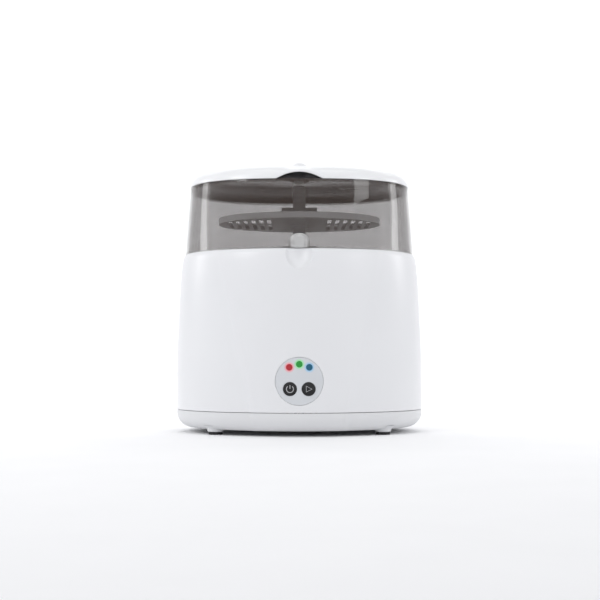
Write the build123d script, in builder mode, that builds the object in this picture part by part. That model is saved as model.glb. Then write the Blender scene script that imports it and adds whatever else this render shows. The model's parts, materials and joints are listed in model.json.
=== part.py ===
from build123d import *
import os
from math import atan2, cos, pi, sin

# A counter-top steam sterilizer for baby bottles, in millimetres. The origin is on the surface that it
# stands on, under the middle of the body. +Z is up and the front, with its control panel, faces -Y.
# Seen from above the body is an ellipse, so its shells are turned profiles squeezed front to back. Each
# profile is a list of (radius, height), where the radius is measured along X.

# ---- overall sizes -------------------------------------------------------------------------------
body_width = 298.0
body_depth = 252.0
foot_height = 6.0
seam_z = 27.0  # joint between the base pan and the body shell
rim_z = 212.0  # top edge of the body
lid_shoulder_z = 291.0  # where the lid's window ends and its cap begins
cap_top_z = 310.0
vent_top_z = 326.0

# ---- walls, gaps and fits ------------------------------------------------------------------------
shell_wall = 2.6
tub_wall = 2.4
lid_wall = 2.8
seam_gap = 0.5
lid_gap = 0.8
fit = 0.3
pivot_clearance = 0.05  # radial, around the hinge pin

# ---- steam chamber -------------------------------------------------------------------------------
tub_rim_inset = 21.0  # from the widest outline to the inside of the tub
tub_floor_inset = 32.0
tub_floor_z = 58.0
tub_floor_thickness = 6.0
flange_thickness = 2.5
plate_hole_radius = 78.0
plate_radius = 92.0
plate_thickness = 2.0
gasket_thickness = 1.2
plate_screw_circle = 87.0
plate_screw_count = 6
plate_screw_radius = 1.5
plate_screw_grip = 4.5
element_radius = 55.0
element_tube = 4.0

# ---- bottle basket and accessory tray ------------------------------------------------------------
basket_inset = 38.0
basket_foot = 2.0
basket_floor_thickness = 3.0
bottle_ring_x = 74.0
bottle_ring_y = 60.0
peg_height = 42.0
peg_radius = 15.0
peg_rib = 2.6
steam_hole_radius = 4.0
post_width = 15.0
post_depth = 12.0
post_collar = 3.0  # how far the shoulder that carries the tray stands out
post_top_z = 298.0
grip_height = 30.0
tray_floor_z = 250.5
tray_floor_thickness = 2.0
tray_height = 7.0
tray_wall = 2.0
tray_half_width = 98.0
tray_slot_width = 5.2
tray_slot_share = 0.78  # slot length over the tray's half depth
tray_slot_pitch = 9.4
tray_slot_margin = 15.0  # from the tray's edge to its outermost slot
tray_slot_count = 6
tray_hub_width = 43.0
tray_hub_depth = 26.0
tray_hub_height = 20.0

# ---- control panel -------------------------------------------------------------------------------
panel_z = 62.8
panel_radius = 26.8
panel_sink = 0.3
panel_thickness = 3.0
panel_flange = 3.2
button_radius = 7.6
button_gap = 0.3
button_spread = 10.4
button_drop = 8.7
button_travel = 1.2
lens_radius = 3.7
lens_spots = {"red": (-11.2, 15.6), "green": (0.0, 19.0), "blue": (11.2, 15.6)}  # from the panel's middle
board_width = 62.0
board_height = 56.0
board_thickness = 1.6
board_setback = 16.0  # from the front of the body
board_hole_x = 26.5
board_hole_z = 24.0
switch_height = 3.5
switch_plunger = 0.7

# ---- finger recesses -----------------------------------------------------------------------------
dish_radius = 22.0  # in the body, under the lid's tab
dish_height = 24.0
dish_depth = 5.5
pocket_radius = 17.0  # in the lid, round the tab
pocket_height = 34.0
pocket_depth = 6.0
recess_wall = 2.0
tab_width = 25.6
tab_height = 16.5
tab_setback = 0.8
top_recess_width = 52.0  # an arched notch in the edge of the cap
top_recess_rise = 8.0

# ---- hinge ---------------------------------------------------------------------------------------
hinge_pin_radius = 2.0
knuckle_radius = 5.0
hinge_inset = 6.5  # from the back of the body to the hinge's axis
hinge_drop = 2.5  # from the rim down to the hinge's axis
hinge_half_width = 34.0
lid_knuckle_half_width = 22.0
knuckle_gap = 0.5
hinge_plate_thickness = 2.0
hinge_screw_x = 27.0
hinge_arm_height = 26.0

# ---- base pan details ----------------------------------------------------------------------------
pan_floor = 2.6
column_x, column_y = 92.0, 46.0
column_radius = 6.5
screw_head_radius = 3.8
screw_head_height = 2.4
screw_shank_radius = 1.75
foot_x, foot_y = 97.0, 72.0
foot_boss_height = 2.6
pad_radius = 8.2
pad_sink = 1.0
gland_z = 16.5
gland_radius = 5.0
gland_bore = 3.2
vent_radius = 8.5
vent_bore = 3.6

# ---- derived places ------------------------------------------------------------------------------
widest = body_width / 2
depth_share = body_depth / body_width
front_y = -body_depth / 2
body_height = rim_z - seam_z - seam_gap
rim_inset = 10.6
lid_bottom_z = rim_z + lid_gap
lid_height = lid_shoulder_z - lid_bottom_z
lid_foot_inset = rim_inset + 0.5
cap_rise = cap_top_z - lid_shoulder_z
dome_top_z = cap_top_z - lid_wall - fit
rim_front_y = -(widest - rim_inset) * depth_share
lid_front_y = -(widest - lid_foot_inset) * depth_share
dish_run = dish_depth + 3.7  # the body swells below the rim, so the dish leans out to meet it
pocket_run = pocket_depth - 2.5  # the lid leans in above its foot
tub_bottom_z = tub_floor_z - tub_floor_thickness
flange_z = rim_z - flange_thickness
ledge_top_z = flange_z - 0.2
plate_z = tub_bottom_z - gasket_thickness  # top of the heating plate's flange
basket_z = tub_floor_z + basket_foot
column_top_z = tub_bottom_z - 18.0
base_screw_seat_z = column_top_z - 6.0
foot_boss_z = foot_height - foot_boss_height
board_y = front_y + board_setback
panel_back_y = front_y + 8.0
panel_rear_y = front_y + panel_sink + panel_thickness  # back of the panel's face
hinge_y = body_depth / 2 - hinge_inset
hinge_z = rim_z - hinge_drop
hinge_plate_y = hinge_y - 6.3  # outer face of the hinge plate
gland_outer_y = body_depth / 2
gland_inner_y = body_depth / 2 - 14.0
column_spots = [(sx * column_x, sy * column_y) for sx in (-1, 1) for sy in (-1, 1)]
foot_spots = [(sx * foot_x, sy * foot_y) for sx in (-1, 1) for sy in (-1, 1)]
board_spots = [(sx * board_hole_x, panel_z + sz * board_hole_z) for sx in (-1, 1) for sz in (-1, 1)]
hinge_screw_spots = [(sx * hinge_screw_x, hinge_z - 24.0) for sx in (-1, 1)]
button_spots = [(sx * button_spread, panel_z - button_drop) for sx in (-1, 1)]
plate_screw_spots = [
    (plate_screw_circle * cos(angle), plate_screw_circle * sin(angle))
    for angle in [2 * pi * (step + 0.5) / plate_screw_count for step in range(plate_screw_count)]
]
bottle_spots = [
    (bottle_ring_x * cos(angle), bottle_ring_y * sin(angle))
    for angle in [2 * pi * step / 6 for step in range(6)]
]


# ---- helpers -------------------------------------------------------------------------------------
def turned(outer, inner):
    """Turns the wall between two profiles, each listed from the bottom up, and squeezes it in depth."""
    with BuildPart() as solid:
        with BuildSketch(Plane.XZ):
            with BuildLine():
                Polyline(*outer)
                Polyline(*inner)
                Line(outer[-1], inner[-1])
                Line(outer[0], inner[0])
            make_face()
        revolve(axis=Axis.Z)
    return scale(solid.part, by=(1, depth_share, 1))


def ring(r_in, r_out, z0, z1):
    """A straight-walled ring that follows the body's outline."""
    return turned([(r_out, z0), (r_out, z1)], [(r_in, z0), (r_in, z1)])


def body_side(inset=0.0):
    """The points of the two arcs of the body's side, from the seam up, drawn in by inset."""
    z0 = seam_z + seam_gap
    shoulder_z = z0 + 0.90 * body_height
    foot = (widest - 0.35 - inset, z0)
    middle = (widest - 1.35 - inset, z0 + 0.45 * body_height)
    shoulder = (widest - 6.6 - inset, shoulder_z)
    bend = (widest - 7.9 - inset, (shoulder_z + rim_z) / 2)
    rim = (widest - rim_inset - inset, rim_z)
    return foot, middle, shoulder, bend, rim


def posts(spots, radius, z0, z1):
    """Upright cylinders at the given (x, y) spots."""
    with BuildPart() as group:
        with BuildSketch(Plane.XY.offset(z0)):
            with Locations(*spots):
                Circle(radius)
        extrude(amount=z1 - z0)
    return group.part


def rods(spots, radius, y0, y1):
    """Cylinders that lie front to back at the given (x, z) spots."""
    with BuildPart() as group:
        with BuildSketch(Plane.XZ.offset(-y1)):
            with Locations(*spots):
                Circle(radius)
        extrude(amount=y1 - y0)
    return group.part


def barrel(radius, x0, x1):
    """A cylinder along the hinge's axis."""
    with BuildPart() as group:
        with BuildSketch(Plane.YZ.offset(x0)):
            with Locations((hinge_y, hinge_z)):
                Circle(radius)
        extrude(amount=x1 - x0)
    return group.part


def block(x0, x1, y0, y1, z0, z1):
    """A plain box between two corners."""
    with BuildPart() as box:
        with BuildSketch(Plane.XY.offset(z0)):
            with Locations(((x0 + x1) / 2, (y0 + y1) / 2)):
                Rectangle(x1 - x0, y1 - y0)
        extrude(amount=z1 - z0)
    return box.part


def scoop(radius, depth, run, rise, y, z, extra=0.0):
    """A leaning cylinder that cuts a scoop depth deep into the wall at (y, z), leaning by run over rise."""
    lean = atan2(run, abs(rise))
    up = 1 if rise > 0 else -1
    axis = Vector(0, -sin(lean), up * cos(lean))
    centre = Vector(0, y + depth - radius, z)
    with BuildPart() as solid:
        with BuildSketch(Plane(centre - axis * radius, x_dir=(1, 0, 0), z_dir=axis)):
            Circle(radius + extra)
        extrude(amount=radius + 1.6 * abs(rise))
    return solid.part


def save(part, name):
    """Labels a finished piece and writes it as one STEP."""
    part.label = name
    export_step(part, f"parts/{name}.step")


os.makedirs("parts", exist_ok=True)

# ---- base pan ------------------------------------------------------------------------------------
pan_foot = (widest - 15.0, foot_height)
pan_bulge = (widest - 5.2, foot_height + 5.5)
pan_rim = (widest - 0.4, seam_z)
tongue_radius = widest - shell_wall - 0.35 - fit

with BuildPart() as base_pan:
    with BuildSketch(Plane.XZ):
        with BuildLine():
            Line((0, foot_height), pan_foot)
            ThreePointArc(pan_foot, pan_bulge, pan_rim)
            Polyline(
                pan_rim,
                (tongue_radius, seam_z),
                (tongue_radius, seam_z + 4.0),
                (tongue_radius - 2.0, seam_z + 4.0),
                (tongue_radius - 2.0, seam_z - 6.0),
                (pan_bulge[0] - 6.0, foot_height + pan_floor),
                (0, foot_height + pan_floor),
                (0, foot_height),
            )
        make_face()
    revolve(axis=Axis.Z)
    scale(by=(1, depth_share, 1))
    raised = [
        posts(column_spots, column_radius, foot_height + 0.5 * pan_floor, column_top_z),
        posts(foot_spots, pad_radius + 1.4, foot_boss_z, foot_height + 5.0),
    ]
    add(raised)
    holes = [
        posts(column_spots, screw_head_radius + 0.6, foot_height - 1, base_screw_seat_z),
        posts(column_spots, screw_shank_radius + 0.25, foot_height, column_top_z + 1),
        posts(foot_spots, pad_radius + 0.05, foot_boss_z - 1, foot_boss_z + pad_sink),
        rods([(0, gland_z)], gland_radius + 0.1, gland_inner_y, gland_outer_y + 5),
    ]
    add(holes, mode=Mode.SUBTRACT)
save(base_pan.part, "base_pan")

with BuildPart() as foot_pads:
    add(posts(foot_spots, pad_radius, 0, foot_boss_z + pad_sink))
    fillet(foot_pads.edges().group_by(Axis.Z)[0], radius=0.8)
save(foot_pads.part, "foot_pads")

with BuildPart() as base_screws:
    add(posts(column_spots, screw_head_radius, base_screw_seat_z - screw_head_height, base_screw_seat_z))
    add(posts(column_spots, screw_shank_radius, base_screw_seat_z, column_top_z + 12.0))
    with BuildSketch(Plane.XY.offset(base_screw_seat_z - screw_head_height)):
        with Locations(*column_spots):
            Rectangle(4.6, 0.9)
            Rectangle(0.9, 4.6)
    extrude(amount=1.4, mode=Mode.SUBTRACT)
save(base_screws.part, "base_screws")

# The gland that the mains lead would leave through is a flanged bush in the back wall.
with BuildPart() as cord_gland:
    add(rods([(0, gland_z)], gland_radius + 1.5, gland_inner_y, gland_inner_y + 3.0))
    add(rods([(0, gland_z)], gland_radius, gland_inner_y, gland_outer_y))
    fillet(cord_gland.faces().sort_by(Axis.Y)[-1].edges(), radius=0.6)
    add(rods([(0, gland_z)], gland_bore, gland_inner_y - 1, gland_outer_y + 1), mode=Mode.SUBTRACT)
save(cord_gland.part, "cord_gland")

# ---- body shell ----------------------------------------------------------------------------------
foot, middle, shoulder, bend, rim = body_side()
in_foot, in_middle, in_shoulder, _, in_rim = body_side(shell_wall)
ledge_z = ledge_top_z - 3.0
ledge_radius = in_rim[0] - 4.2
with BuildPart() as body_core:
    with BuildSketch(Plane.XZ):
        with BuildLine():
            ThreePointArc(foot, middle, shoulder)
            ThreePointArc(shoulder, bend, rim)
            Polyline(rim, (0, rim[1]), (0, foot[1]), foot)
        make_face()
    revolve(axis=Axis.Z)
    scale(by=(1, depth_share, 1))
dish = scoop(dish_radius, dish_depth, dish_run, -dish_height, rim_front_y, rim_z)
dish_back = scoop(dish_radius, dish_depth, dish_run, -dish_height, rim_front_y, rim_z, recess_wall)
dish_wall = dish_back & body_core.part
hinge_notch = block(
    -hinge_half_width - 1.0,
    hinge_half_width + 1.0,
    hinge_plate_y - hinge_plate_thickness - 1.0,
    body_depth / 2 + 5,
    hinge_z - knuckle_radius - 1.0,
    rim_z + 5,
)

with BuildPart() as body_shell:
    with BuildSketch(Plane.XZ):
        with BuildLine():
            ThreePointArc(foot, middle, shoulder)
            ThreePointArc(shoulder, bend, rim)
            Polyline(
                rim,
                (in_rim[0], rim_z),
                (in_rim[0], ledge_top_z),
                (ledge_radius, ledge_top_z),
                (ledge_radius, ledge_z),
                (in_shoulder[0] - 1.0, ledge_z),
                in_shoulder,
            )
            ThreePointArc(in_shoulder, in_middle, in_foot)
            Line(in_foot, foot)
        make_face()
    revolve(axis=Axis.Z)
    scale(by=(1, depth_share, 1))
    board_bosses = rods(board_spots, 3.2, front_y + 2.9, board_y)
    hinge_bosses = rods(hinge_screw_spots, 4.0, hinge_plate_y, hinge_y - 1.9)
    add([dish_wall, board_bosses, hinge_bosses])
    cuts = [
        dish,
        rods([(0, panel_z)], panel_radius + fit, front_y - 5, panel_back_y),
        rods(board_spots, 1.25, board_y - 9.0, board_y + 1),
        rods(hinge_screw_spots, 1.5, hinge_plate_y - 1, hinge_plate_y + 4.0),
        hinge_notch,
    ]
    add(cuts, mode=Mode.SUBTRACT)
save(body_shell.part, "body_shell")

# ---- chamber tub ---------------------------------------------------------------------------------
tub_floor_radius = widest - tub_floor_inset
tub_rim_radius = widest - tub_rim_inset
flange_radius = widest - rim_inset - shell_wall - fit
with BuildPart() as chamber_tub:
    with BuildSketch(Plane.XZ):
        with BuildLine():
            Line((0, tub_bottom_z), (tub_floor_radius - 4.0, tub_bottom_z))
            Line((tub_floor_radius - 4.0, tub_bottom_z), (tub_floor_radius + tub_wall, tub_floor_z))
            Line((tub_floor_radius + tub_wall, tub_floor_z), (tub_rim_radius + tub_wall, flange_z))
            Line((tub_rim_radius + tub_wall, flange_z), (flange_radius, flange_z))
            Line((flange_radius, flange_z), (flange_radius, rim_z))
            Line((flange_radius, rim_z), (tub_rim_radius, rim_z))
            Line((tub_rim_radius, rim_z), (tub_floor_radius, tub_floor_z + 6.0))
            Line((tub_floor_radius, tub_floor_z + 6.0), (tub_floor_radius - 6.0, tub_floor_z))
            Line((tub_floor_radius - 6.0, tub_floor_z), (0, tub_floor_z))
            Line((0, tub_floor_z), (0, tub_bottom_z))
        make_face()
    revolve(axis=Axis.Z)
    scale(by=(1, depth_share, 1))
    add(posts(column_spots, 5.0, column_top_z + 0.2, tub_bottom_z + 1.0))
    add(posts([(0, 0)], plate_hole_radius, tub_bottom_z - 1, tub_floor_z + 1), mode=Mode.SUBTRACT)
    add(posts(column_spots, screw_shank_radius, column_top_z - 1, column_top_z + 14.0), mode=Mode.SUBTRACT)
    add(
        posts(plate_screw_spots, plate_screw_radius, tub_bottom_z - 1, tub_bottom_z + plate_screw_grip),
        mode=Mode.SUBTRACT,
    )
    dish_room = scoop(dish_radius, dish_depth, dish_run, -dish_height, rim_front_y, rim_z, recess_wall + fit)
    add(dish_room, mode=Mode.SUBTRACT)
    add(barrel(knuckle_radius + 1.0, -hinge_half_width - 1.0, hinge_half_width + 1.0), mode=Mode.SUBTRACT)
save(chamber_tub.part, "chamber_tub")

# ---- heating plate and what hangs under it ---------------------------------------------------------
with BuildPart() as plate_gasket:
    with BuildSketch(Plane.XY.offset(plate_z)):
        Circle(plate_radius)
        Circle(plate_hole_radius + 1.0, mode=Mode.SUBTRACT)
        with Locations(*plate_screw_spots):
            Circle(plate_screw_radius + 0.2, mode=Mode.SUBTRACT)
    extrude(amount=gasket_thickness)
save(plate_gasket.part, "plate_gasket")

plate_sink = 3.0  # the plate's middle is dished to hold the water
plate_under_z = plate_z - plate_sink - plate_thickness
with BuildPart() as heating_plate:
    with BuildSketch(Plane.XZ):
        with BuildLine():
            Polyline(
                (0, plate_under_z),
                (70.0, plate_under_z),
                (76.0, plate_z - plate_thickness),
                (plate_radius, plate_z - plate_thickness),
                (plate_radius, plate_z),
                (75.0, plate_z),
                (69.0, plate_under_z + plate_thickness),
                (0, plate_under_z + plate_thickness),
                close=True,
            )
        make_face()
    revolve(axis=Axis.Z)
    add(posts(plate_screw_spots, plate_screw_radius + 0.2, plate_z - 5, plate_z + 1), mode=Mode.SUBTRACT)
save(heating_plate.part, "heating_plate")

plate_screw_top = tub_bottom_z + plate_screw_grip - 0.5
with BuildPart() as plate_screws:
    add(posts(plate_screw_spots, 2.8, plate_z - plate_thickness - 2.0, plate_z - plate_thickness))
    add(posts(plate_screw_spots, plate_screw_radius, plate_z - plate_thickness, plate_screw_top))
save(plate_screws.part, "plate_screws")

element_z = plate_under_z - element_tube
with BuildPart() as heating_element:
    with BuildLine():
        tube_path = CenterArc((0, 0, element_z), element_radius, -75, 330)
    with BuildSketch(Plane(tube_path @ 0, z_dir=tube_path % 0)):
        Circle(element_tube)
    sweep()
    for end in (0, 1):
        with BuildSketch(Plane(tube_path @ end, z_dir=(0, 0, -1))):
            Circle(element_tube * 0.6)
        extrude(amount=element_tube + 9.0)
save(heating_element.part, "heating_element")

bracket_z = element_z - element_tube
with BuildPart() as element_bracket:
    add(block(-element_radius - 8, element_radius + 8, -7, 7, bracket_z - 1.5, bracket_z))
    add(posts([(0, 0)], 5.0, bracket_z - 0.5, plate_under_z))
save(element_bracket.part, "element_bracket")

with BuildPart() as thermostat:
    add(posts([(26, 24)], 12.0, plate_under_z - 1.2, plate_under_z))
    add(posts([(26, 24)], 8.0, plate_under_z - 10.0, plate_under_z - 1.0))
    for side in (-4, 4):
        add(block(26 + side - 0.4, 26 + side + 0.4, 21, 27, plate_under_z - 17.0, plate_under_z - 9.5))
save(thermostat.part, "thermostat")

with BuildPart() as thermal_fuse:
    with BuildSketch(Plane.YZ.offset(-36)):
        with Locations((24, plate_under_z - 2.2)):
            Circle(2.2)
    extrude(amount=16)
    with BuildSketch(Plane.YZ.offset(-44)):
        with Locations((24, plate_under_z - 2.2)):
            Circle(0.6)
    extrude(amount=32)
save(thermal_fuse.part, "thermal_fuse")

# ---- control panel: disc, buttons, lenses and the board behind them --------------------------------
with BuildPart() as panel_core:
    with BuildSketch(Plane.XZ):
        with BuildLine():
            skin_foot, skin_middle, skin_shoulder, _, _ = body_side(panel_sink)
            ThreePointArc(skin_foot, skin_middle, skin_shoulder)
            Polyline(skin_shoulder, (0, skin_shoulder[1]), (0, skin_foot[1]), skin_foot)
        make_face()
    revolve(axis=Axis.Z)
    scale(by=(1, depth_share, 1))

flange_front_y = front_y + shell_wall + 2.6  # clear of the curved wall all round
lens_places = {name: (x, panel_z + z) for name, (x, z) in lens_spots.items()}
with BuildPart() as control_disc:
    add(rods([(0, panel_z)], panel_radius, front_y - 1, panel_back_y) & panel_core.part)
    add(rods([(0, panel_z)], panel_radius + panel_flange, flange_front_y, panel_back_y))
    recesses = [
        rods([(0, panel_z)], panel_radius - 2.4, panel_rear_y, panel_back_y + 1),
        rods(button_spots, button_radius + button_gap, front_y - 1, panel_back_y),
        rods(list(lens_places.values()), lens_radius, front_y - 1, panel_back_y),
    ]
    add(recesses, mode=Mode.SUBTRACT)
save(control_disc.part, "control_disc")

for name, place in lens_places.items():
    with BuildPart() as lens:
        add(rods([place], lens_radius, front_y - 1, panel_rear_y + 0.5) & panel_core.part)
        add(rods([place], lens_radius + 0.8, panel_rear_y, panel_rear_y + 1.0))
    save(lens.part, f"{name}_lens")

switch_front_y = board_y - switch_height
plunger_y = switch_front_y - switch_plunger
for name, place in (("power", button_spots[0]), ("start", button_spots[1])):
    with BuildPart() as button:
        add(rods([place], button_radius, front_y, panel_rear_y + button_gap + 1.0))
        fillet(button.faces().sort_by(Axis.Y)[0].edges(), radius=0.5)
        add(rods([place], button_radius + 1.0, panel_rear_y + button_gap, panel_rear_y + button_gap + 1.0))
        add(rods([place], 2.0, panel_rear_y, plunger_y - button_travel - button_gap))
    save(button.part, f"{name}_button")

half_board, half_rise = board_width / 2, board_height / 2
board_back_y = board_y + board_thickness
with BuildPart() as control_board:
    add(block(-half_board, half_board, board_y, board_back_y, panel_z - half_rise, panel_z + half_rise))
    add(rods(board_spots, 1.5, board_y - 1, board_back_y + 1), mode=Mode.SUBTRACT)
save(control_board.part, "control_board")

with BuildPart() as board_screws:
    add(rods(board_spots, 2.6, board_back_y, board_back_y + 1.8))
    add(rods(board_spots, 1.25, board_y - 7.0, board_back_y))
save(board_screws.part, "board_screws")

with BuildPart() as tact_switches:
    for x, z in button_spots:
        add(block(x - 3, x + 3, switch_front_y, board_y, z - 3, z + 3))
    add(rods(button_spots, 1.7, plunger_y, switch_front_y))
save(tact_switches.part, "tact_switches")

with BuildPart() as indicator_leds:
    for x, z in lens_places.values():
        add(block(x - 1.6, x + 1.6, board_y - 1.2, board_y, z - 1.1, z + 1.1))
save(indicator_leds.part, "indicator_leds")

with BuildPart() as relay:
    add(block(-22, -4, board_back_y, board_back_y + 10, 37, 50))
    chamfer(relay.faces().sort_by(Axis.Y)[-1].edges(), length=0.6)
save(relay.part, "relay")

wire_spots = [(1.0, 42.0), (7.0, 42.0), (13.0, 42.0), (19.0, 42.0)]
with BuildPart() as terminal_block:
    add(block(-2, 22, board_back_y, board_back_y + 8, 38, 46))
    add(rods(wire_spots, 1.3, board_back_y + 3, board_back_y + 9), mode=Mode.SUBTRACT)
save(terminal_block.part, "terminal_block")


def wire(points, radius=1.2):
    """A wire with rounded bends through the given points."""
    with BuildPart() as strand:
        with BuildLine() as route:
            FilletPolyline(*points, radius=4.0)
        with BuildSketch(Plane(route.line @ 0, z_dir=route.line % 0)):
            Circle(radius)
        sweep()
    return strand.part


wire_start_y = board_back_y + 4.0
element_ends = sorted([tube_path @ 0, tube_path @ 1], key=lambda point: point.X)
element_foot_z = element_z - element_tube - 9.0
with BuildPart() as heater_leads:
    for (x, z), end in zip(wire_spots[:2], element_ends):
        low_z = 19.0 + x / 3
        turns = [(x, wire_start_y, z), (x, -88, z), (x, -88, low_z), (end.X, end.Y, low_z)]
        add(wire(turns + [(end.X, end.Y, element_foot_z)]))
save(heater_leads.part, "heater_leads")

with BuildPart() as mains_leads:
    for (x, z), shift in zip(wire_spots[2:], (-1.5, 1.5)):
        turns = [(x, wire_start_y, z), (x, -94, z), (x, -94, 13.5), (shift, -34, 13.5), (shift, 98, gland_z)]
        add(wire(turns + [(shift, gland_inner_y + 6, gland_z)]))
save(mains_leads.part, "mains_leads")

# ---- hinge ---------------------------------------------------------------------------------------
plate_in_y = hinge_plate_y - hinge_plate_thickness
knuckle_x = lid_knuckle_half_width + knuckle_gap
with BuildPart() as hinge_bracket:
    add(block(-hinge_half_width, hinge_half_width, plate_in_y, hinge_plate_y, hinge_z - 32.0, hinge_z - 4.0))
    for side in (-1, 1):
        x0, x1 = sorted((side * knuckle_x, side * hinge_half_width))
        add(block(x0, x1, plate_in_y, hinge_y, hinge_z - knuckle_radius, hinge_z - 1.0))
        add(barrel(knuckle_radius, x0, x1))
    add(barrel(hinge_pin_radius, -hinge_half_width - 1, hinge_half_width + 1), mode=Mode.SUBTRACT)
    add(rods(hinge_screw_spots, 1.7, plate_in_y - 1, hinge_plate_y + 1), mode=Mode.SUBTRACT)
save(hinge_bracket.part, "hinge_bracket")

with BuildPart() as hinge_screws:
    add(rods(hinge_screw_spots, 2.9, plate_in_y - 1.8, plate_in_y))
    add(rods(hinge_screw_spots, 1.5, plate_in_y, hinge_plate_y + 3.6))
save(hinge_screws.part, "hinge_screws")

with BuildPart() as hinge_pin:
    add(barrel(hinge_pin_radius, -hinge_half_width - 0.4, hinge_half_width + 0.4))
    chamfer(hinge_pin.edges().filter_by(GeomType.CIRCLE), length=0.3)
save(hinge_pin.part, "hinge_pin")

# ---- lid -----------------------------------------------------------------------------------------
lid_foot = (widest - lid_foot_inset, lid_bottom_z)
lid_side = (widest - lid_foot_inset - 3.2, lid_bottom_z + 0.5 * lid_height)
lid_top = (widest - lid_foot_inset - 7.0, lid_shoulder_z)
dome_foot = (lid_top[0] - lid_wall - 0.4, lid_shoulder_z)
dome_bend = (widest - lid_foot_inset - 20.9, dome_top_z - 7.4)
dome_flat = (widest - lid_foot_inset - 42.9, dome_top_z - 2.9)
lip_radius = tub_rim_radius - 0.9
lip_z = lid_bottom_z - 4.5
lid_flange = 2.0
seal_out = tub_rim_radius + tub_wall - 0.2
seal_in = tub_rim_radius + 0.2
seal_sink = 0.8


def drawn_in(point, wall):
    """A profile point moved inward and down by the wall."""
    return point[0] - wall, point[1] - wall


with BuildPart() as lid_core:
    with BuildSketch(Plane.XZ):
        with BuildLine():
            ThreePointArc(lid_foot, lid_side, lid_top)
            Polyline(lid_top, (0, lid_top[1]), (0, lid_foot[1]), lid_foot)
        make_face()
    revolve(axis=Axis.Z)
    scale(by=(1, depth_share, 1))
pocket = scoop(pocket_radius, pocket_depth, pocket_run, pocket_height, lid_front_y, lid_bottom_z)
pocket_backing = scoop(
    pocket_radius, pocket_depth, pocket_run, pocket_height, lid_front_y, lid_bottom_z, recess_wall
)
seal_channel = ring(seal_in - 0.1, seal_out + 0.1, lid_bottom_z - 1, lid_bottom_z + seal_sink + 0.1)
pocket_wall = (pocket_backing & lid_core.part) - seal_channel

with BuildPart() as lid_shell:
    with BuildSketch(Plane.XZ):
        with BuildLine():
            ThreePointArc(lid_foot, lid_side, lid_top)
            Line(lid_top, dome_foot)
            ThreePointArc(dome_foot, dome_bend, dome_flat)
            Polyline(dome_flat, (0, dome_top_z), (0, dome_top_z - lid_wall), drawn_in(dome_flat, lid_wall))
            ThreePointArc(
                drawn_in(dome_flat, lid_wall),
                drawn_in(dome_bend, lid_wall),
                (dome_foot[0] - lid_wall, lid_shoulder_z - lid_wall),
            )
            ThreePointArc(
                (dome_foot[0] - lid_wall, lid_shoulder_z - lid_wall),
                (lid_side[0] - lid_wall - 0.2, lid_side[1]),
                (lid_foot[0] - lid_wall, lid_bottom_z + lid_flange),
            )
            Polyline(
                (lid_foot[0] - lid_wall, lid_bottom_z + lid_flange),
                (lip_radius - 2.0, lid_bottom_z + lid_flange),
                (lip_radius - 2.0, lip_z),
                (lip_radius, lip_z),
                (lip_radius, lid_bottom_z),
                (seal_in, lid_bottom_z),
                (seal_in, lid_bottom_z + seal_sink),
                (seal_out, lid_bottom_z + seal_sink),
                (seal_out, lid_bottom_z),
                lid_foot,
            )
        make_face()
    revolve(axis=Axis.Z)
    scale(by=(1, depth_share, 1))
    add(pocket_wall)
    cuts = [
        pocket,
        posts([(0, 0)], vent_radius - 2.5, cap_top_z - 12, cap_top_z + 2),
    ]
    add(cuts, mode=Mode.SUBTRACT)
save(lid_shell.part, "lid_shell")

lid_seal = ring(seal_in, seal_out, rim_z + fit, lid_bottom_z + seal_sink)
save(lid_seal, "lid_seal")

cap_foot = (widest - lid_foot_inset - 6.2, lid_shoulder_z + fit)
cap_bend = (widest - lid_foot_inset - 12.0, lid_shoulder_z + 0.58 * cap_rise)
cap_shoulder = (widest - lid_foot_inset - 28.0, cap_top_z - 3.4)
cap_crown = (widest - lid_foot_inset - 62.0, cap_top_z - 1.0)
notch_radius = (top_recess_width**2 / 4 + top_recess_rise**2) / (2 * top_recess_rise)
notch_z = lid_shoulder_z + top_recess_rise - notch_radius
with BuildPart() as lid_cap:
    with BuildSketch(Plane.XZ):
        with BuildLine():
            ThreePointArc(cap_foot, cap_bend, cap_shoulder)
            Polyline(
                cap_shoulder,
                cap_crown,
                (0, cap_top_z),
                (0, dome_top_z + fit),
                (dome_flat[0], dome_flat[1] + fit),
            )
            ThreePointArc(
                (dome_flat[0], dome_flat[1] + fit),
                (dome_bend[0] + fit, dome_bend[1] + fit),
                (dome_foot[0] + fit, cap_foot[1]),
            )
            Line((dome_foot[0] + fit, cap_foot[1]), cap_foot)
        make_face()
    revolve(axis=Axis.Z)
    scale(by=(1, depth_share, 1))
    cuts = [
        rods([(0, notch_z)], notch_radius, front_y, lid_front_y * 0.7),
        posts([(0, 0)], vent_radius - 2.5, cap_top_z - 12, cap_top_z + 2),
    ]
    add(cuts, mode=Mode.SUBTRACT)
save(lid_cap.part, "lid_cap")

# The tab under the finger is a clear arched plug at the foot of the pocket.
with BuildPart() as tab_arch:
    with BuildSketch(Plane.XZ.offset(-(lid_front_y + 9.0))):
        with Locations((0, lid_bottom_z + 0.2)):
            Ellipse(tab_width / 2, tab_height)
            Rectangle(tab_width, tab_height, align=(Align.CENTER, Align.MAX), mode=Mode.SUBTRACT)
    extrude(amount=9.0 - tab_setback)
lift_tab = tab_arch.part & scoop(
    pocket_radius, pocket_depth, pocket_run, pocket_height, lid_front_y, lid_bottom_z, -0.02
)
save(lift_tab, "lift_tab")

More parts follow.
